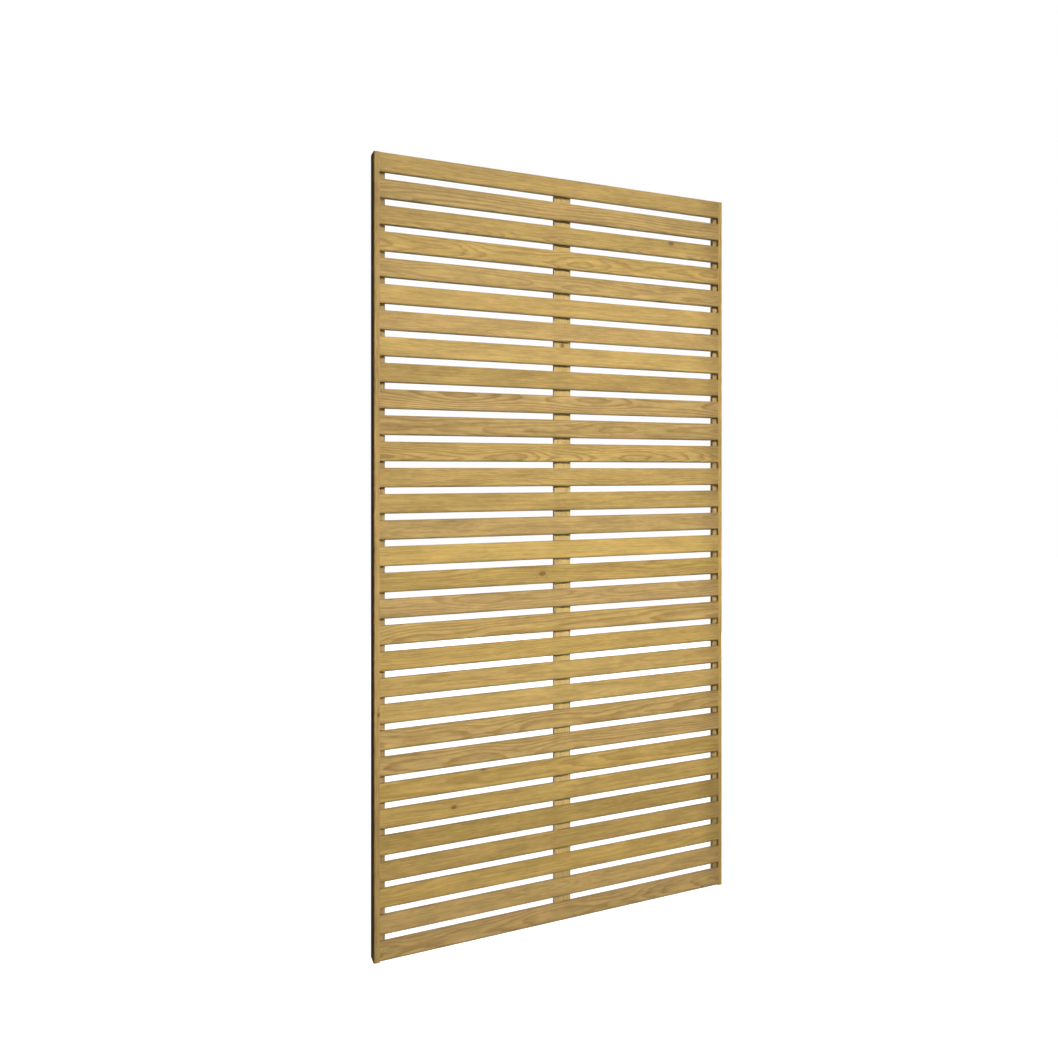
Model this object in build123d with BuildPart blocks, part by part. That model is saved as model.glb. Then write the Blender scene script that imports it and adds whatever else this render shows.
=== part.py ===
"""Slatted trellis panel: a run of slats stapled to three battens, with edge strips that cover the ends of the slats.

Millimetres. X runs across the panel, the face looks along -Y and Z is up.
The origin is under the middle of the panel, level with the foot of the edge strips.
"""

import os

from build123d import *

# Panel
panel_width = 900
panel_height = 1800

# Edge strips: deep boards set on edge, flush with the slats in front and glued to the side battens
edge_depth = 40
edge_width = 13
edge_arris = 3
edge_inner_arris = 1.5
edge_foot = 2  # how far the strips reach below the lowest slat

# Slats: planed boards with eased edges
slat_width = 44
slat_thickness = 8
slat_arris = 2
slat_gap_wanted = 14.5  # the even gap comes out close to this
slat_end_clearance = 0.5  # joint between a slat's end and the edge strip

# Battens: slat board set upright behind the slats. The centre one has its full width, the side ones are ripped
side_batten_width = 13

# Staples: driven from behind, so that the face stays clean
staple_crown = 11
staple_wire = 1.5
staple_sink = 0.3  # how far the crown sits below the surface
staple_point_cover = 2  # wood left in front of the points

# Planes that the pieces share, from the face to the back
face_y = -edge_depth / 2
seat_y = face_y + slat_thickness
batten_back_y = seat_y + slat_thickness
batten_y = (seat_y + batten_back_y) / 2

# Spacing of the slats, counted from the top
slat_run = panel_height - edge_foot
slat_count = round((slat_run + slat_gap_wanted) / (slat_width + slat_gap_wanted))
slat_pitch = (slat_run - slat_width) / (slat_count - 1)
top_slat_z = panel_height - slat_width / 2
slat_heights = [top_slat_z - number * slat_pitch for number in range(slat_count)]

# Places across the panel
edge_inner_x = panel_width / 2 - edge_width
slat_length = 2 * (edge_inner_x - slat_end_clearance)
right_column = edge_inner_x - side_batten_width / 2
left_column = -right_column
staple_columns = [left_column, 0, right_column]

# Legs stand in line with the ends of the crown, and stop short of the slat's face
leg_spacing = staple_crown - staple_wire
staple_bite = slat_thickness - staple_point_cover


def upright_plane(y):
    """A plane seen from the front, at depth y, with the panel's X and Z as its own axes."""
    return Plane.XZ.offset(-y)


def draw_crowns(places):
    """Draw the crown of a staple at each place, upright."""
    with Locations(*places):
        Rectangle(staple_wire, staple_crown)


def draw_legs(places):
    """Draw the two legs of a staple at each place."""
    with Locations(*places):
        with GridLocations(leg_spacing, leg_spacing, 1, 2):
            Rectangle(staple_wire, staple_wire)


def cut_staple_holes(column):
    """Cut the sunk crowns and the leg holes of one column of staples, from behind to the slats' seat."""
    places = [(column, height) for height in slat_heights]
    with BuildSketch(upright_plane(batten_back_y)) as crowns:
        draw_crowns(places)
    extrude(crowns.sketch, amount=staple_sink + staple_wire, mode=Mode.SUBTRACT)
    with BuildSketch(upright_plane(batten_back_y)) as legs:
        draw_legs(places)
    extrude(legs.sketch, amount=batten_back_y - seat_y, mode=Mode.SUBTRACT)


def save(piece, label):
    """Name a finished piece and write it as a file of its own."""
    piece.part.label = label
    export_step(piece.part, f"parts/{label}.step")


os.makedirs("parts", exist_ok=True)

# Left edge strip: rounded along its outer edges, run up the full height
with BuildPart() as left_edge:
    with BuildSketch() as edge_section:
        with Locations(((edge_width - panel_width) / 2, 0)):
            Rectangle(edge_width, edge_depth)
        fillet(edge_section.vertices().group_by(Axis.X)[0], edge_arris)
        fillet(edge_section.vertices().group_by(Axis.Y)[-1].sort_by(Axis.X)[-1], edge_inner_arris)
    extrude(amount=panel_height)
save(left_edge, "left_edge")

# Right edge strip: the left one mirrored about the middle of the panel
with BuildPart() as right_edge:
    mirror(left_edge.part, about=Plane.YZ)
save(right_edge, "right_edge")

# Left batten: its inner edges are eased, and its ripped side is square against the edge strip
with BuildPart() as left_batten:
    with BuildSketch(Plane.XY.offset(edge_foot)) as side_section:
        with Locations((left_column, batten_y)):
            Rectangle(side_batten_width, slat_thickness)
        chamfer(side_section.vertices().group_by(Axis.X)[-1], slat_arris)
    extrude(amount=slat_run)
    cut_staple_holes(left_column)
save(left_batten, "left_batten")

# Right batten: the left one mirrored
with BuildPart() as right_batten:
    mirror(left_batten.part, about=Plane.YZ)
save(right_batten, "right_batten")

# Centre batten: eased along both edges
with BuildPart() as centre_batten:
    with BuildSketch(Plane.XY.offset(edge_foot)) as centre_section:
        with Locations((0, batten_y)):
            Rectangle(slat_width, slat_thickness)
        chamfer(centre_section.vertices(), slat_arris)
    extrude(amount=slat_run)
    cut_staple_holes(0)
save(centre_batten, "centre_batten")

# Slats: boards with eased long edges, square ends and blind holes for the staple points
for number, height in enumerate(slat_heights, start=1):
    with BuildPart() as slat:
        with BuildSketch(Plane.YZ.offset(-slat_length / 2)) as slat_section:
            with Locations(((face_y + seat_y) / 2, height)):
                Rectangle(slat_thickness, slat_width)
            chamfer(slat_section.vertices(), slat_arris)
        extrude(amount=slat_length)
        with BuildSketch(upright_plane(seat_y)):
            draw_legs([(column, height) for column in staple_columns])
        extrude(amount=staple_bite, mode=Mode.SUBTRACT)
    save(slat, f"slat_{number:02d}")

# Staples: one at each crossing, a crown and two legs in one bent wire
crown_y = batten_back_y - staple_sink
for label, column in zip(("left_staples", "centre_staples", "right_staples"), staple_columns):
    places = [(column, height) for height in slat_heights]
    with BuildPart() as staples:
        with BuildSketch(upright_plane(crown_y)):
            draw_crowns(places)
        extrude(amount=staple_wire)
        with BuildSketch(upright_plane(crown_y)):
            draw_legs(places)
        extrude(amount=crown_y - seat_y + staple_bite)
    save(staples, label)

print(f"{slat_count} slats, {slat_pitch - slat_width:.2f} mm apart, {slat_length:.1f} mm long")
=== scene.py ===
# %% [markdown]
# # A slatted trellis panel
# This lesson dresses a timber garden panel: thirty-one thin slats stapled to three upright battens, with a deep
# strip along each side that covers their ends.
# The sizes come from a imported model, which is loaded first and never moved.
# Shapes are in metres, X runs across the panel, its face looks along -Y and Z is up.

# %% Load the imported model
import math

import bpy
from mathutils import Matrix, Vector


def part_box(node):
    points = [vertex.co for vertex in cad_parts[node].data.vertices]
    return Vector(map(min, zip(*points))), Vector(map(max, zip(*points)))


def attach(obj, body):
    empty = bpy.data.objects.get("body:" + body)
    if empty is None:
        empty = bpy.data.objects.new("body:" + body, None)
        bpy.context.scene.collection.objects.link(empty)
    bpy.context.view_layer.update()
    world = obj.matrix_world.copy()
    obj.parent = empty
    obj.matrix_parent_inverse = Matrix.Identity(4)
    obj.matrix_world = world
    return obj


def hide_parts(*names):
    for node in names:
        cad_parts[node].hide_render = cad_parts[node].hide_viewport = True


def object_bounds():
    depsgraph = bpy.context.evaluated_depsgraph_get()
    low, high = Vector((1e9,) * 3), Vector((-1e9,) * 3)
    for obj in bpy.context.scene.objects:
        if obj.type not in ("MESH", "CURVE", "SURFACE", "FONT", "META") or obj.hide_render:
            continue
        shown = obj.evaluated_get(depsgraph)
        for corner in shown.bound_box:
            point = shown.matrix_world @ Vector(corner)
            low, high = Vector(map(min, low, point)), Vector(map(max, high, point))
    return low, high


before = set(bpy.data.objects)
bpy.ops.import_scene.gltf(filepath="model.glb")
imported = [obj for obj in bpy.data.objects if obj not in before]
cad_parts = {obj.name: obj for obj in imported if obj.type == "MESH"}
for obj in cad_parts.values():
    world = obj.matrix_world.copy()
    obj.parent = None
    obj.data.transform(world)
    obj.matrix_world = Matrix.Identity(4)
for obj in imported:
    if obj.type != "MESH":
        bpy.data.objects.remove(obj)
cad_low, cad_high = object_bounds()
print("packed model", [round(side, 3) for side in cad_high - cad_low], "m,", len(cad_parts), "nodes")

# %% [markdown]
# ## Reading the sizes
# Each slat is a node of its own, so its box gives the board's length, thickness and width and the place it hangs.
# Reading them is safer than typing them again: if the panel is packed at another size, the scene follows.

# %% Measure the slats
millimetres = 1000.0
slat_nodes = sorted(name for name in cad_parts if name.startswith("slat_"))
slat_low, slat_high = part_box(slat_nodes[0])
slat_length, slat_thickness, slat_width = slat_high - slat_low
print(len(slat_nodes), "slats of", [round(side * millimetres, 1) for side in slat_high - slat_low], "mm")

# %% [markdown]
# ## Helpers for node trees
# Shapes and finishes are both built from nodes below.
# `wire` feeds one input, either from another node or with a plain value, and `add` makes a node and wires it.
# With them a tree reads from top to bottom, like a recipe.
# A shape's tree is opened by `start_shape` and closed by `end_shape`. Then `grow` runs it and keeps a plain mesh.
# Its normals are weighted by the size of the faces, so that a flat board with narrow rounds still looks flat.

# %% Helpers that build node trees
sharp_angle = math.radians(35)


def wire(tree, socket, value):
    """Feed an input from another node's output, or with a plain value."""
    if isinstance(value, bpy.types.NodeSocket):
        tree.links.new(value, socket)
    else:
        socket.default_value = value


def add(tree, kind, inputs=None, **options):
    """Add a node, set its options and feed its inputs, which are named or numbered."""
    node = tree.nodes.new(kind)
    for option, value in options.items():
        setattr(node, option, value)
    for key, value in (inputs or {}).items():
        wire(tree, node.inputs[key], value)
    return node


def start_shape(name, sizes):
    """Start a Geometry Nodes tree whose named inputs are these sizes."""
    tree = bpy.data.node_groups.new(name, "GeometryNodeTree")
    for label, kind in sizes.items():
        tree.interface.new_socket(label, in_out="INPUT", socket_type=f"NodeSocket{kind}")
    tree.interface.new_socket("Mesh", in_out="OUTPUT", socket_type="NodeSocketGeometry")
    return tree, tree.nodes.new("NodeGroupInput").outputs


def end_shape(tree, shape, material):
    """Finish a tree: make instances real, give them their material and put them out."""
    real = add(tree, "GeometryNodeRealizeInstances", {"Geometry": shape})
    dressed = add(tree, "GeometryNodeSetMaterial", {"Geometry": real.outputs[0], "Material": material})
    add(tree, "NodeGroupOutput", {0: dressed.outputs[0]})


def keep_result(piece):
    """Replace a piece's mesh by what its modifiers make of it, and remove them."""
    made = piece.evaluated_get(bpy.context.evaluated_depsgraph_get())
    mesh = bpy.data.meshes.new_from_object(made)
    piece.modifiers.clear()
    piece.data = mesh


def grow(name, tree, sizes):
    """Run a tree with these sizes and keep what it makes as a plain mesh, flat where it is flat."""
    piece = bpy.data.objects.new(name, bpy.data.meshes.new(name))
    bpy.context.scene.collection.objects.link(piece)
    modifier = piece.modifiers.new(tree.name, "NODES")
    modifier.node_group = tree
    for item in tree.interface.items_tree:
        if item.in_out == "INPUT":
            modifier[item.identifier] = sizes[item.name]
    keep_result(piece)
    piece.data.shade_smooth()
    piece.data.set_sharp_from_angle(angle=sharp_angle)
    piece.modifiers.new("even shading", "WEIGHTED_NORMAL").keep_sharp = True
    keep_result(piece)
    return piece


print("helpers ready")

# %% [markdown]
# ## Softwood, as it grew
# The panel is planed softwood, and its figure comes from growth rings that the saw cut through.
# A picture of wood would stretch over the edges and repeat on each board.
# Instead the pattern is solid: it knows where each point of a board lay in the log, so the face shows arches or
# straight lines, and the ends show the rings themselves.
# The pattern is one node group, with the grain along its own X axis, and every timber below uses it. Inside it,
# lengths are in millimetres.

# %% Start the timber pattern
timber = bpy.data.node_groups.new("softwood figure", "ShaderNodeTree")
timber_inputs = {
    "Point": "Vector",
    "Board": "Float",
    "Half width": "Float",
    "Half length": "Float",
    "Lower painted shade": "Float",
    "Upper painted shade": "Float",
    "End painted shade": "Float",
    "Early wood": "Color",
    "Late wood": "Color",
}
timber_outputs = {"Colour": "Color", "Roughness": "Float", "Height": "Float"}
for label, kind in timber_inputs.items():
    timber.interface.new_socket(label, in_out="INPUT", socket_type=f"NodeSocket{kind}")
for label, kind in timber_outputs.items():
    timber.interface.new_socket(label, in_out="OUTPUT", socket_type=f"NodeSocket{kind}")
given = timber.nodes.new("NodeGroupInput").outputs


def calc(operation, *values):
    """Add one step of arithmetic to the timber pattern."""
    return add(timber, "ShaderNodeMath", dict(enumerate(values)), operation=operation).outputs[0]


def vector_calc(operation, *values):
    """Add one step of vector arithmetic to the timber pattern."""
    node = add(timber, "ShaderNodeVectorMath", dict(enumerate(values)), operation=operation)
    return node.outputs["Value" if operation == "LENGTH" else "Vector"]


def split(vector):
    """Take a vector or a colour apart."""
    return add(timber, "ShaderNodeSeparateXYZ", {0: vector}).outputs


def join(x, y, z):
    """Make a vector from three numbers."""
    return add(timber, "ShaderNodeCombineXYZ", {0: x, 1: y, 2: z}).outputs[0]


def spread(value, low, high):
    """Stretch a number from 0 to 1 over a range."""
    return calc("MULTIPLY_ADD", value, high - low, low)


def ease(value, start, end):
    """A smooth step, 0 before the start and 1 after the end."""
    step = {"Value": value, "From Min": start, "From Max": end}
    return add(timber, "ShaderNodeMapRange", step, interpolation_type="SMOOTHSTEP").outputs[0]


def fade(value, start, end):
    """The same step turned over, 1 before the start and 0 after the end."""
    return calc("SUBTRACT", 1.0, ease(value, start, end))


place = vector_calc("MULTIPLY", given["Point"], (millimetres, millimetres, millimetres))
along, depth, across = split(place)
board = given["Board"]
print("timber pattern started, in millimetres")

# %% [markdown]
# ### Luck of the draw
# Two boards never come from the same spot of a log.
# White noise turns the board's number into a handful of fixed chances, the same on every run: how deep the heart
# of the log lies behind the face, how far to one side, how the board leans along it and how wide the rings are.

# %% Draw each board's place in the log
first_seed, seed_step = 0.37, 61.3
draws = (
    ("depth", "side", "lean"),
    ("drift", "spacing", "contrast"),
    ("tone", "hue", "bends"),
)
chance = {}
for turn, names in enumerate(draws):
    seed = calc("ADD", board, first_seed + seed_step * turn)
    drawn = add(timber, "ShaderNodeTexWhiteNoise", {"W": seed}, noise_dimensions="1D").outputs["Color"]
    chance.update(zip(names, split(drawn)))
heart_depth = spread(chance["depth"], 18.0, 80.0)
heart_side = spread(chance["side"], -55.0, 55.0)
lean = spread(chance["lean"], -0.03, 0.03)
drift = spread(chance["drift"], -0.03, 0.03)
print("chances per board:", ", ".join(chance))

# %% [markdown]
# ### Knots
# A knot is a branch cut across. A Voronoi texture scatters possible centres over the boards, one to a cell, and
# only a few of them are kept. The board's number moves the cells along, so that no two boards share them.
# The distance from a centre gives the dark round of the knot, and the same distance lifts the rings, so that the
# grain swings round the knot as it does in the tree. It counts a cell as shorter than it is, which draws the knot
# out along the grain.

# %% Scatter a few knots
knot_cell = (270.0, 85.0, 1.0)
counted_cell = (170.0, 85.0, 0.0)
cells_per_board = (7.31, 3.17)
knot_share = 0.08
knot_along = calc("MULTIPLY_ADD", board, knot_cell[0] * cells_per_board[0], along)
knot_across = calc("MULTIPLY_ADD", board, knot_cell[1] * cells_per_board[1], across)
knot_grid = vector_calc("DIVIDE", join(knot_along, knot_across, 0.0), knot_cell)
scatter = {"Vector": knot_grid, "Scale": 1.0}
knot_cells = add(timber, "ShaderNodeTexVoronoi", scatter, voronoi_dimensions="2D").outputs
knot_chance, knot_draw, _ = split(knot_cells["Color"])
knot_offset = vector_calc("SUBTRACT", knot_grid, knot_cells["Position"])
knot_distance = vector_calc("LENGTH", vector_calc("MULTIPLY", knot_offset, counted_cell))
knot_radius = spread(knot_draw, 2.5, 6.0)
knot_reach = calc("DIVIDE", knot_distance, knot_radius)
knot_kept = calc("LESS_THAN", knot_chance, knot_share)
knot_core = calc("MULTIPLY", knot_kept, fade(knot_reach, 0.75, 1.15))
knot_halo = calc("MULTIPLY", knot_kept, fade(knot_reach, 0.6, 2.6))
print("knots kept:", knot_share, "of the possible places")

# %% [markdown]
# ### Growth rings
# Each point's distance from the heart of the log says which year's wood it is.
# The heart wanders a little along the length, which closes the arches on the face, and the years differ in width.
# Within a year the wood goes slowly from pale to dark, then stops short where the next spring began.

# %% Grow the rings
wander_scale = 0.0032
wander_per_board = 5.17
ripple_scale = (0.016, 0.1, 0.1)
ripple_height = 3.0
knot_lift = 7.0
ring_width = (1.8, 4.4)
uneven_scale = 0.45
uneven_years = 1.4


def noise(point, detail):
    """Cloudy noise, about half a unit either side of nothing."""
    node = add(timber, "ShaderNodeTexNoise", {"Vector": point, "Scale": 1.0, "Detail": detail})
    return vector_calc("SUBTRACT", node.outputs["Color"], (0.5, 0.5, 0.5))


def grain_noise(point, scale, detail):
    """Noise drawn out along the grain, where its scale is smaller than across."""
    return split(noise(vector_calc("MULTIPLY", point, scale), detail))


def enlarge(vector, factor):
    """Multiply a vector or a colour by one number."""
    return add(timber, "ShaderNodeVectorMath", {0: vector, 3: factor}, operation="SCALE").outputs[0]


wander_place = join(calc("MULTIPLY", along, wander_scale), calc("MULTIPLY", board, wander_per_board), 0.0)
bends = spread(chance["bends"], 4.0, 34.0)
wander = split(enlarge(noise(wander_place, 1.0), bends))
from_heart_depth = calc("ADD", depth, calc("MULTIPLY_ADD", lean, along, heart_depth))
from_heart_depth = calc("ADD", from_heart_depth, wander[0])
from_heart_side = calc("ADD", across, calc("MULTIPLY_ADD", drift, along, heart_side))
from_heart_side = calc("ADD", from_heart_side, wander[1])
radius = vector_calc("LENGTH", join(from_heart_depth, from_heart_side, 0.0))
ripple = grain_noise(place, ripple_scale, 3.0)[0]
radius = calc("MULTIPLY_ADD", ripple, ripple_height, radius)
radius = calc("MULTIPLY_ADD", knot_halo, knot_lift, radius)
years = calc("DIVIDE", radius, spread(chance["spacing"], *ring_width))
uneven = split(noise(join(calc("MULTIPLY", years, uneven_scale), board, 0.0), 1.0))[0]
season = calc("FRACT", calc("MULTIPLY_ADD", uneven, uneven_years, years))
late = calc("MULTIPLY", ease(season, 0.35, 0.85), fade(season, 0.9, 1.0))
print("rings", ring_width[0], "to", ring_width[1], "mm apart")

# %% [markdown]
# ### Painted shade on the edges
# In the picture the slats' long edges and right-hand ends are darker, and the outer side of the left strip is
# darkest of all. All of this is painted shade: the lamps below leave these places too pale, so their shade is
# put into the timber's colour.
# The distance from an edge says how much painted shade the wood gets there, and each timber below sets the shares.
# A timber that sets none stays even.

# %% Paint shade onto the edges
lower_reach = (2.0, 5.5)
upper_reach = (0.3, 2.2)
end_reach = (0.0, 75.0)
above_lower_edge = calc("ADD", given["Half width"], across)
below_upper_edge = calc("SUBTRACT", given["Half width"], across)
from_end = calc("SUBTRACT", given["Half length"], along)
lower_painted_shade = calc("MULTIPLY", fade(above_lower_edge, *lower_reach), given["Lower painted shade"])
upper_painted_shade = calc("MULTIPLY", fade(below_upper_edge, *upper_reach), given["Upper painted shade"])
end_painted_shade = calc("MULTIPLY", fade(from_end, *end_reach), given["End painted shade"])
painted_shade = calc("ADD", calc("ADD", lower_painted_shade, upper_painted_shade), end_painted_shade)
print("lower edges darken over", lower_reach[1], "mm, upper edges over", upper_reach[1], "mm")

# %% [markdown]
# ### Fibres and streaks
# Between the rings, planed softwood shows fine fibres, longer streaks, thin dark lines of resin and broad clouds
# where it took up the preservative unevenly.
# All of them are noise drawn out along the grain, at several scales. The board's number moves the larger ones, so
# that they differ from board to board.

# %% Draw the fibres
streak_shift = 31.0
cloud_shift = 97.0
streak_place = join(along, depth, calc("MULTIPLY_ADD", board, streak_shift, across))
cloud_place = join(calc("MULTIPLY_ADD", board, cloud_shift, along), depth, across)
fibre = grain_noise(place, (0.025, 0.45, 0.45), 3.0)[0]
streak = grain_noise(streak_place, (0.006, 0.2, 0.2), 2.0)
mottle = grain_noise(streak_place, (0.045, 0.16, 0.16), 3.0)
hair = grain_noise(streak_place, (0.008, 0.26, 0.26), 2.0)[2]
hairline = fade(calc("ABSOLUTE", hair), 0.0, 0.04)
cloud = grain_noise(cloud_place, (0.009, 0.03, 0.03), 1.0)[0]
print("fibres, streaks, mottle, hairlines and clouds drawn")

# %% [markdown]
# ### Colour and surface
# Rings mix the pale and the dark wood, and then the fibres vary its tone and painted shade darkens its edges.
# Streaks and mottle also blush it a little, and knots come last.
# Each board has a tone and a yellowness of its own, because boards from many trees meet in one panel.
# Late wood is harder than early wood, so planing leaves it a little smoother and prouder.

# %% Mix the colour
knot_brown = (0.2, 0.1, 0.032, 1.0)
halo_strength = 0.45
core_strength = 0.75
blush_red, blush_green, blush_blue = 0.15, -0.07, 0.1
shadings = ((fibre, 0.45), (streak[0], 0.44), (mottle[0], 0.38), (cloud, 0.45), (hairline, -0.11))


def mix(share, first, second):
    """Blend two colours of the timber pattern."""
    return add(timber, "ShaderNodeMix", {0: share, 6: first, 7: second}, data_type="RGBA").outputs[2]


ring_strength = calc("MULTIPLY", late, spread(chance["contrast"], 0.2, 0.85))
wood = mix(ring_strength, given["Early wood"], given["Late wood"])
shade = spread(chance["tone"], 0.88, 1.08)
for pattern, strength in shadings:
    shade = calc("MULTIPLY_ADD", pattern, strength, shade)
# Painted shade: darken the edges, the right-hand ends and the left strip's outer side.
shade = calc("MULTIPLY", shade, calc("SUBTRACT", 1.0, painted_shade))
wood = enlarge(wood, shade)
blush = calc("ADD", streak[1], mottle[1])
red = calc("MULTIPLY_ADD", blush, blush_red, 1.0)
green = calc("MULTIPLY_ADD", blush, blush_green, 1.0)
blue = calc("MULTIPLY_ADD", blush, blush_blue, spread(chance["hue"], 0.9, 1.14))
wood = vector_calc("MULTIPLY", wood, join(red, green, blue))
wood = mix(calc("MULTIPLY", knot_halo, halo_strength), wood, given["Late wood"])
wood = mix(calc("MULTIPLY", knot_core, core_strength), wood, knot_brown)
matt = calc("MULTIPLY_ADD", fibre, 0.2, calc("MULTIPLY_ADD", late, -0.1, 0.68))
relief = calc("MULTIPLY_ADD", late, 0.5, calc("MULTIPLY", fibre, 1.2))
add(timber, "NodeGroupOutput", {"Colour": wood, "Roughness": matt, "Height": relief})
print("timber pattern has", len(timber.nodes), "nodes")

# %% [markdown]
# ### Timbers for the boards
# The slats share one material, and each edge strip has its own, the left one with painted shade on its outer
# side. They read the point and the board's number from attributes that their shape stores.

# %% Make the timbers of the slats and strips
slat_woods = (0.582, 0.394, 0.13, 1.0), (0.37, 0.222, 0.06, 1.0)
left_edge_woods = (0.57, 0.372, 0.125, 1.0), (0.386, 0.228, 0.0615, 1.0)
right_edge_woods = (0.6, 0.391, 0.131, 1.0), (0.4, 0.236, 0.064, 1.0)


def make_timber(name, find_point, find_number, early, late, painted_shades=None):
    """Make a timber material. The two functions return where a point lies in its board, and the board's number."""
    material = bpy.data.materials.new(name)
    material.use_nodes = True
    tree = material.node_tree
    shader = tree.nodes["Principled BSDF"]
    shader.inputs["Specular IOR Level"].default_value = 0.25
    figure = add(tree, "ShaderNodeGroup", node_tree=timber)
    wire(tree, figure.inputs["Point"], find_point(tree))
    wire(tree, figure.inputs["Board"], find_number(tree))
    # The shares of painted shade, where the timber has any.
    for label, value in (painted_shades or {}).items():
        wire(tree, figure.inputs[label], value)
    wire(tree, figure.inputs["Early wood"], early)
    wire(tree, figure.inputs["Late wood"], late)
    grain = {"Strength": 0.35, "Distance": 0.0003, "Height": figure.outputs["Height"]}
    bump = add(tree, "ShaderNodeBump", grain)
    wire(tree, shader.inputs["Base Color"], figure.outputs["Colour"])
    wire(tree, shader.inputs["Roughness"], figure.outputs["Roughness"])
    wire(tree, shader.inputs["Normal"], bump.outputs[0])
    return material


def stored_point(tree):
    """The place in the board that its shape stored."""
    return add(tree, "ShaderNodeAttribute", attribute_name="grain_point").outputs["Vector"]


def stored_number(tree):
    """The board's number that its shape stored."""
    return add(tree, "ShaderNodeAttribute", attribute_name="board_number").outputs["Fac"]


edge_low, edge_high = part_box("left_edge")
# Painted shade along both long edges of each slat and towards its right-hand end.
slat_painted_shades = {
    "Half width": slat_width * millimetres / 2,
    "Half length": slat_length * millimetres / 2,
    "Lower painted shade": 0.36,
    "Upper painted shade": 0.3,
    "End painted shade": 0.2,
}
# Painted shade on the outer side of the left strip, which takes away more than half its colour.
outer_side_painted_shade = {"Half width": (edge_high.x - edge_low.x) * millimetres / 2, "Upper painted shade": 0.55}
slat_timber = make_timber("slat timber", stored_point, stored_number, *slat_woods, slat_painted_shades)
edge_timbers = {
    "left": make_timber("left edge timber", stored_point, stored_number, *left_edge_woods, outer_side_painted_shade),
    "right": make_timber("right edge timber", stored_point, stored_number, *right_edge_woods),
}
print("timbers:", ", ".join(material.name for material in (slat_timber, *edge_timbers.values())))

# %% [markdown]
# ### Timbers for the battens
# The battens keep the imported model's shapes, with the slots that the staples sink into. They have no stored point,
# so it is the object's own place, turned by a Mapping node until the grain runs up the piece and centred on it.
# In the picture the centre batten is the palest board, and the side ones are duller.

# %% Dress the battens
battens = {
    "left_batten": (103.0, (0.455, 0.325, 0.117, 1.0), (0.295, 0.186, 0.053, 1.0)),
    "centre_batten": (104.0, (0.61, 0.445, 0.183, 1.0), (0.47, 0.312, 0.108, 1.0)),
    # Painted light: the right batten is made paler than the left, to offset the shade that falls on it.
    "right_batten": (105.0, (0.585, 0.405, 0.157, 1.0), (0.416, 0.265, 0.083, 1.0)),
}


def dress_upright(node_name, board_number, early, late):
    """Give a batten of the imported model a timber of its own, with the grain running up it."""
    low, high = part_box(node_name)
    middle = (low + high) / 2
    quarter_turn = (0.0, math.pi / 2, 0.0)

    def upright_point(tree):
        here = add(tree, "ShaderNodeTexCoord").outputs["Object"]
        turned = {"Vector": here, "Location": (-middle.z, -middle.y, middle.x), "Rotation": quarter_turn}
        return add(tree, "ShaderNodeMapping", turned).outputs[0]

    material = make_timber(f"{node_name} timber", upright_point, lambda tree: board_number, early, late)
    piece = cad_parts[node_name]
    piece.data.materials.clear()
    piece.data.materials.append(material)


for node_name, batten in battens.items():
    dress_upright(node_name, *batten)
print("dressed:", ", ".join(battens))

# %% [markdown]
# ## Boards
# A slat is a planed board with its long edges eased and its ends left square, and so is an edge strip.
# A cube with a bevel would round the ends as well, so the section is drawn instead, its corners are filleted, and
# it is swept along a line.
# All boards follow this one rule, which makes it a good first Geometry Nodes tree. Its corners have one radius
# above and another below, because an edge strip is rounder on its outer side. The sweep turns the section over, so
# the corners below its middle become the board's upper ones.
# The tree stores where each point lies in its board while the board still lies along X. Only then is it turned and
# hung, and the timber reads the stored point.

# %% Build the board tree
arris_points = 5
board_tree, size = start_shape(
    "board",
    {
        "Length": "Float",
        "Width": "Float",
        "Thickness": "Float",
        "Upper arris": "Float",
        "Lower arris": "Float",
        "Turn": "Vector",
        "Place": "Vector",
        "Board number": "Float",
        "Timber": "Material",
    },
)
section_size = {"Width": size["Thickness"], "Height": size["Width"]}
section = add(board_tree, "GeometryNodeCurvePrimitiveQuadrilateral", section_size).outputs[0]
here = add(board_tree, "GeometryNodeInputPosition").outputs[0]
height = add(board_tree, "ShaderNodeSeparateXYZ", {0: here}).outputs["Y"]
is_upper = add(board_tree, "FunctionNodeCompare", {0: height}, operation="LESS_THAN").outputs[0]
arrises = {"Switch": is_upper, "False": size["Lower arris"], "True": size["Upper arris"]}
arris = add(board_tree, "GeometryNodeSwitch", arrises, input_type="FLOAT").outputs[0]
rounding = {"Curve": section, "Radius": arris, "Count": arris_points}
eased = add(board_tree, "GeometryNodeFilletCurve", rounding, mode="POLY").outputs[0]
half_length = add(board_tree, "ShaderNodeMath", {0: size["Length"], 1: 0.5}, operation="MULTIPLY").outputs[0]
end = add(board_tree, "ShaderNodeCombineXYZ", {"X": half_length}).outputs[0]
start = add(board_tree, "ShaderNodeVectorMath", {0: end, 3: -1.0}, operation="SCALE").outputs[0]
line = add(board_tree, "GeometryNodeCurvePrimitiveLine", {"Start": start, "End": end}).outputs[0]
upright = add(board_tree, "GeometryNodeSetCurveNormal", {"Curve": line}, mode="Z_UP").outputs[0]
sweep = {"Curve": upright, "Profile Curve": eased, "Fill Caps": True}
swept = add(board_tree, "GeometryNodeCurveToMesh", sweep).outputs[0]
point_stored = {"Geometry": swept, "Name": "grain_point", "Value": here}
swept = add(board_tree, "GeometryNodeStoreNamedAttribute", point_stored, data_type="FLOAT_VECTOR").outputs[0]
number_stored = {"Geometry": swept, "Name": "board_number", "Value": size["Board number"]}
swept = add(board_tree, "GeometryNodeStoreNamedAttribute", number_stored, data_type="FLOAT").outputs[0]
hanging = {"Geometry": swept, "Translation": size["Place"], "Rotation": size["Turn"]}
hung = add(board_tree, "GeometryNodeTransform", hanging).outputs[0]
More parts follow.
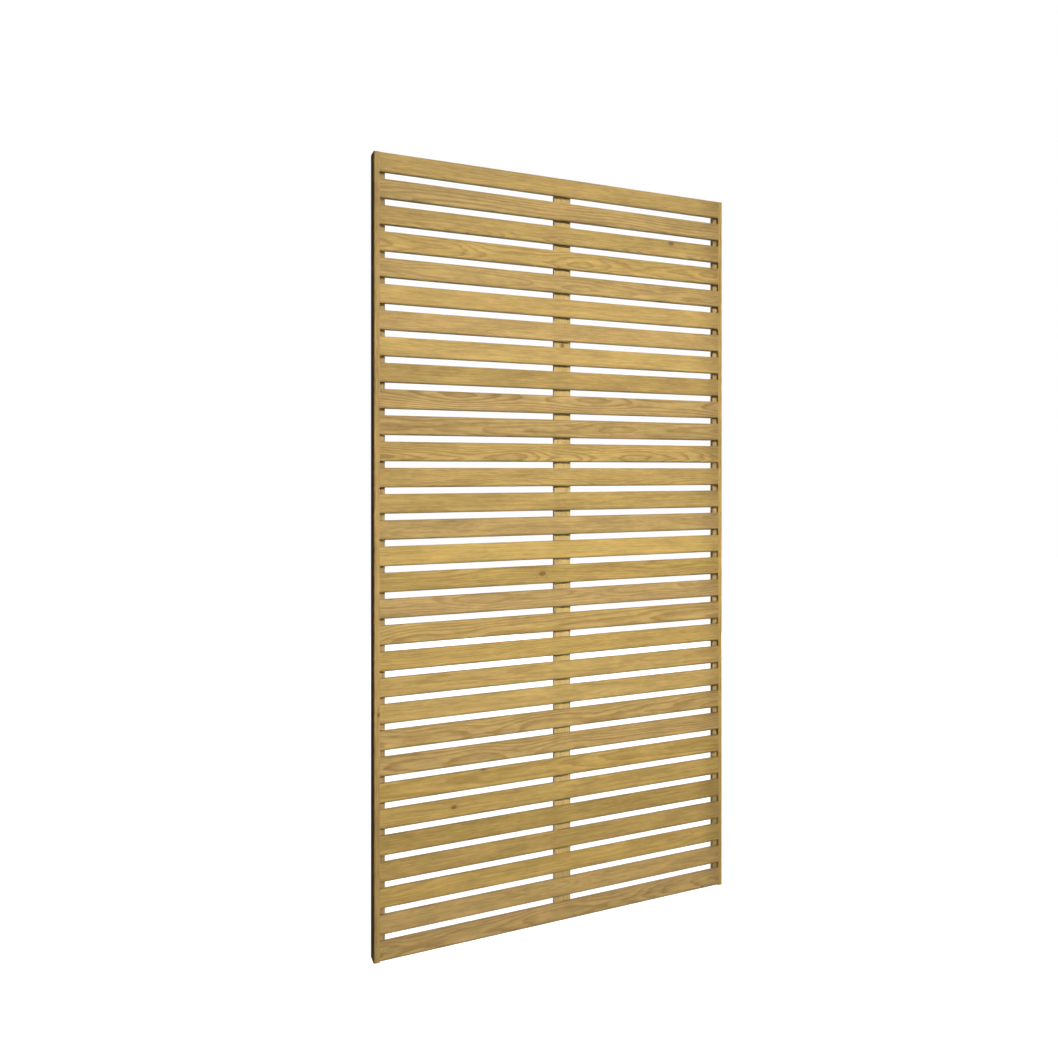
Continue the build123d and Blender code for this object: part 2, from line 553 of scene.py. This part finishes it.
end_shape(board_tree, hung, size["Timber"])
print("board tree has", len(board_tree.nodes), "nodes")

# %% [markdown]
# ## Slats
# Each slat becomes a piece of its own, as it is on the panel, and takes the place of its node.
# Its number, counted from the top, and its place are all that make it differ from its neighbours.
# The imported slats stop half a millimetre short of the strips. The picture shows only a fine line there, so these
# ones are a little longer.

# %% Hang the slats
slat_arris = 0.002
slat_joint = 0.00005
packed_joint = slat_low.x - edge_high.x
visible_length = slat_length + 2 * (packed_joint - slat_joint)
for number, node_name in enumerate(slat_nodes, start=1):
    low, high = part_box(node_name)
    sizes = {
        "Length": visible_length,
        "Width": slat_width,
        "Thickness": slat_thickness,
        "Upper arris": slat_arris,
        "Lower arris": slat_arris,
        "Turn": (0.0, 0.0, 0.0),
        "Place": (low + high) / 2,
        "Board number": float(number),
        "Timber": slat_timber,
    }
    slat = grow(f"board_{number:02d}", board_tree, sizes)
    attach(slat, "root")
    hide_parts(node_name)
print(len(slat_nodes), "slats of", len(slat.data.polygons), "faces")

# %% [markdown]
# ## Edge strips
# A strip stands on edge along each side and covers the ends of the slats.
# It is the same kind of board turned upright: a quarter turn about Y sends its length up and its upper side to the
# left. That side is the outer one on the left strip and the inner one on the right strip, so their radii swap.
# The outer side is well rounded, and the inner one is nearly square, to meet the slats with only a fine line.

# %% Stand the edge strips
outer_arris = 0.005
inner_arris = 0.0002
strips = {
    "left": (101.0, outer_arris, inner_arris),
    "right": (102.0, inner_arris, outer_arris),
}
for side, (board_number, upper_arris, lower_arris) in strips.items():
    low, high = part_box(f"{side}_edge")
    sizes = {
        "Length": high.z - low.z,
        "Width": high.x - low.x,
        "Thickness": high.y - low.y,
        "Upper arris": upper_arris,
        "Lower arris": lower_arris,
        "Turn": (0.0, -math.pi / 2, 0.0),
        "Place": (low + high) / 2,
        "Board number": board_number,
        "Timber": edge_timbers[side],
    }
    strip = grow(f"{side}_edge_strip", board_tree, sizes)
    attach(strip, "root")
    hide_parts(f"{side}_edge")
    print(strip.name, len(strip.data.polygons), "faces,", [round(value, 4) for value in strip.dimensions], "m")

# %% [markdown]
# ## Galvanised wire
# The slats are held by wire staples shot in from behind, and such wire is coated with zinc.
# A fine noise makes it mottled, a little pitted, and duller in some spots than in others.

# %% Make the galvanised steel
dark_zinc = (0.42, 0.43, 0.44, 1.0)
pale_zinc = (0.66, 0.67, 0.68, 1.0)
steel = bpy.data.materials.new("galvanised wire")
steel.use_nodes = True
steel_tree = steel.node_tree
steel_shader = steel_tree.nodes["Principled BSDF"]
steel_shader.inputs["Metallic"].default_value = 1.0
steel_place = add(steel_tree, "ShaderNodeTexCoord").outputs["Object"]
fine_noise = {"Vector": steel_place, "Scale": 900.0, "Detail": 3.0}
spangle = add(steel_tree, "ShaderNodeTexNoise", fine_noise).outputs[0]
coat = {0: spangle, 6: dark_zinc, 7: pale_zinc}
zinc = add(steel_tree, "ShaderNodeMix", coat, data_type="RGBA").outputs[2]
dull = add(steel_tree, "ShaderNodeMapRange", {"Value": spangle, "To Min": 0.3, "To Max": 0.6}).outputs[0]
pitting = {"Strength": 0.2, "Distance": 0.0001, "Height": spangle}
pits = add(steel_tree, "ShaderNodeBump", pitting).outputs[0]
wire(steel_tree, steel_shader.inputs["Base Color"], zinc)
wire(steel_tree, steel_shader.inputs["Roughness"], dull)
wire(steel_tree, steel_shader.inputs["Normal"], pits)
print("steel ready")

# %% [markdown]
# ## A column of staples
# A staple is one length of wire bent twice, so its line has four points, two rounded corners and a round section.
# The tree puts the four points in their places by their numbers, rounds the line, sweeps the wire along it, and
# repeats the staple down a column of points, one to a slat.

# %% Build the staple tree
bend_points = 3
wire_sides = 8
staple_tree, size = start_shape(
    "staple column",
    {
        "Crown": "Float",
        "Leg": "Float",
        "Wire": "Float",
        "Bend": "Float",
        "Count": "Int",
        "First": "Vector",
        "Step": "Vector",
        "Steel": "Material",
    },
)


def times(value, factor):
    """Multiply a size of the staple tree."""
    return add(staple_tree, "ShaderNodeMath", {0: value, 1: factor}, operation="MULTIPLY").outputs[0]


def corner_at(**place):
    """A corner of the staple's line, behind the slat's middle."""
    return add(staple_tree, "ShaderNodeCombineXYZ", place).outputs[0]


half_crown = times(size["Crown"], 0.5)
under_crown = times(half_crown, -1.0)
forward = times(size["Leg"], -1.0)
corners = [
    corner_at(Y=forward, Z=half_crown),
    corner_at(Z=half_crown),
    corner_at(Z=under_crown),
    corner_at(Y=forward, Z=under_crown),
]
pick = add(staple_tree, "GeometryNodeIndexSwitch", data_type="VECTOR")
while len(pick.index_switch_items) < len(corners):
    pick.index_switch_items.new()
wire(staple_tree, pick.inputs["Index"], add(staple_tree, "GeometryNodeInputIndex").outputs[0])
for corner, socket in zip(corners, [item for item in pick.inputs if item.type == "VECTOR"]):
    wire(staple_tree, socket, corner)
points = add(staple_tree, "GeometryNodeMeshLine", {"Count": len(corners)}).outputs[0]
placed = {"Geometry": points, "Position": pick.outputs[0]}
bent = add(staple_tree, "GeometryNodeSetPosition", placed).outputs[0]
path = add(staple_tree, "GeometryNodeMeshToCurve", {"Mesh": bent}).outputs[0]
bending = {"Curve": path, "Radius": size["Bend"], "Count": bend_points}
rounded = add(staple_tree, "GeometryNodeFilletCurve", bending, mode="POLY").outputs[0]
wire_size = {"Resolution": wire_sides, "Radius": times(size["Wire"], 0.5)}
wire_section = add(staple_tree, "GeometryNodeCurvePrimitiveCircle", wire_size).outputs[0]
sweep = {"Curve": rounded, "Profile Curve": wire_section, "Fill Caps": True}
staple = add(staple_tree, "GeometryNodeCurveToMesh", sweep).outputs[0]
spacing = {"Count": size["Count"], "Start Location": size["First"], "Offset": size["Step"]}
column = add(staple_tree, "GeometryNodeMeshLine", spacing).outputs[0]
repeat = {"Points": column, "Instance": staple}
repeated = add(staple_tree, "GeometryNodeInstanceOnPoints", repeat).outputs[0]
end_shape(staple_tree, repeated, size["Steel"])
print("staple tree has", len(staple_tree.nodes), "nodes")

# %% [markdown]
# ## Driving the staples
# There is one column of staples in each batten, and each column is one piece that takes the place of its node.
# The column runs from the middle of the first slat to the middle of the last, and its depth comes from the node's
# box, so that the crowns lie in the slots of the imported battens.

# %% Drive the staples
staple_crown = 0.011
staple_wire = 0.0015
staple_bend = 0.0012
last_low, last_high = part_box(slat_nodes[-1])
first_z = (slat_low.z + slat_high.z) / 2
last_z = (last_low.z + last_high.z) / 2
for side in ("left", "centre", "right"):
    low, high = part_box(f"{side}_staples")
    sizes = {
        "Crown": staple_crown - staple_wire,
        "Leg": high.y - low.y - staple_wire / 2,
        "Wire": staple_wire,
        "Bend": staple_bend,
        "Count": len(slat_nodes),
        "First": Vector(((low.x + high.x) / 2, high.y - staple_wire / 2, first_z)),
        "Step": Vector((0.0, 0.0, (last_z - first_z) / (len(slat_nodes) - 1))),
        "Steel": steel,
    }
    staples = grow(f"{side}_wire_staples", staple_tree, sizes)
    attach(staples, "root")
    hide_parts(f"{side}_staples")
    print(staples.name, len(staples.data.polygons), "faces")

# %% [markdown]
# ## Floor
# The panel is shown on plain white, as a cut-out catalogue picture is.
# A white floor lies under it and glows at full strength, so the picture shows no horizon and no shadow on it. It is
# hidden from bounced light, because its glow would wash out the undersides of the slats.

# %% Lay the floor
floor_half = 9.0
floor_corners = [(x * floor_half, y * floor_half, 0) for x, y in ((-1, -1), (1, -1), (1, 1), (-1, 1))]
floor_mesh = bpy.data.meshes.new("floor")
floor_mesh.from_pydata(floor_corners, [], [(0, 1, 2, 3)])
floor = bpy.data.objects.new("floor", floor_mesh)
bpy.context.scene.collection.objects.link(floor)
floor_white = bpy.data.materials.new("floor white")
floor_white.use_nodes = True
floor_shader = floor_white.node_tree.nodes["Principled BSDF"]
floor_shader.inputs["Base Color"].default_value = (0.25, 0.25, 0.25, 1.0)
floor_shader.inputs["Roughness"].default_value = 1.0
floor_shader.inputs["Specular IOR Level"].default_value = 0.0
floor_shader.inputs["Emission Color"].default_value = (1.0, 1.0, 1.0, 1.0)
floor_shader.inputs["Emission Strength"].default_value = 1.0
floor_mesh.materials.append(floor_white)
floor.visible_diffuse = False
floor.visible_glossy = False
print("floor", 2 * floor_half, "m square")

# %% [markdown]
# ## Lamps
# The key lamp hangs far to the front, high up and a little to the right, and throws the dark line under each slat
# onto the battens. Its beam is narrow, so the light fades towards the edges of the panel, as it does in the
# picture.
# A soft lamp in front fills the shadows, one behind lights the back, and a weak one stands to the right. None
# stands to the left, so the outer side of the left strip stays dark; painted shade in its timber adds to that.

# %% Hang the lamps
panel_middle = (cad_low + cad_high) / 2
lamp_aim = panel_middle + Vector((0.05, 0.0, 0.1))


def hang_lamp(name, place, width, watts, spread_degrees=180.0):
    """Hang a square soft lamp and turn it to the panel, a little above its middle."""
    lamp = bpy.data.lights.new(name, "AREA")
    lamp.size = width
    lamp.energy = watts
    lamp.spread = math.radians(spread_degrees)
    holder = bpy.data.objects.new(name, lamp)
    holder.location = place
    holder.rotation_euler = (lamp_aim - Vector(place)).to_track_quat("-Z", "Y").to_euler()
    holder.visible_camera = False
    bpy.context.scene.collection.objects.link(holder)


hang_lamp("key lamp", place=(0.9, -11.6, 7.9), width=1.6, watts=16.7, spread_degrees=15.5)
hang_lamp("front fill", place=(0.2, -3.4, 1.3), width=1.6, watts=12.0)
hang_lamp("back lamp", place=(1.6, 3.6, 1.0), width=2.0, watts=110.0)
hang_lamp("right lamp", place=(3.6, 0.7, 1.3), width=1.2, watts=14.0)
print("lamps:", ", ".join(lamp.name for lamp in bpy.data.lights))

# %% [markdown]
# ## Surround
# The surround has two brightnesses. The camera sees pure white, which joins the floor without a line, and the panel
# gets only a dim, warm glow, because a white surround would flatten it.
# The Standard view keeps white white and shows the timber's colours as they were mixed.

# %% Set the surround
warm_glow = {"Color": (1.0, 0.86, 0.7, 1.0), "Strength": 0.1}
pure_white = {"Color": (1.0, 1.0, 1.0, 1.0), "Strength": 1.0}
world = bpy.data.worlds.new("white surround")
bpy.context.scene.world = world
world.use_nodes = True
sky = world.node_tree
sky.nodes.clear()
seen = add(sky, "ShaderNodeLightPath").outputs["Is Camera Ray"]
dim = add(sky, "ShaderNodeBackground", warm_glow).outputs[0]
bright = add(sky, "ShaderNodeBackground", pure_white).outputs[0]
surround = add(sky, "ShaderNodeMixShader", {0: seen, 1: dim, 2: bright}).outputs[0]
add(sky, "ShaderNodeOutputWorld", {"Surface": surround})
bpy.context.scene.view_settings.view_transform = "Standard"
print("white surround set")

# %% [markdown]
# ## Camera
# The picture was taken from the left, level with the upper middle of the panel and close enough for its far side
# to look clearly shorter.
# The camera stays level, so that the strips stay upright in the picture, and a small lens shift brings the panel
# to its place in the frame.

# %% Place the camera
camera_turn = -26.037
lens = bpy.data.cameras.new("camera")
lens.sensor_width = 36.0
lens.lens = 31.4
lens.shift_x = -0.1
lens.shift_y = -0.0546
camera = bpy.data.objects.new("camera", lens)
camera.location = (-0.8274, -2.1079, 1.0907)
camera.rotation_euler = (math.radians(90.0), 0.0, math.radians(camera_turn))
bpy.context.scene.collection.objects.link(camera)
bpy.context.scene.camera = camera
print("camera", round((camera.location - panel_middle).length, 2), "m from the middle of the panel")
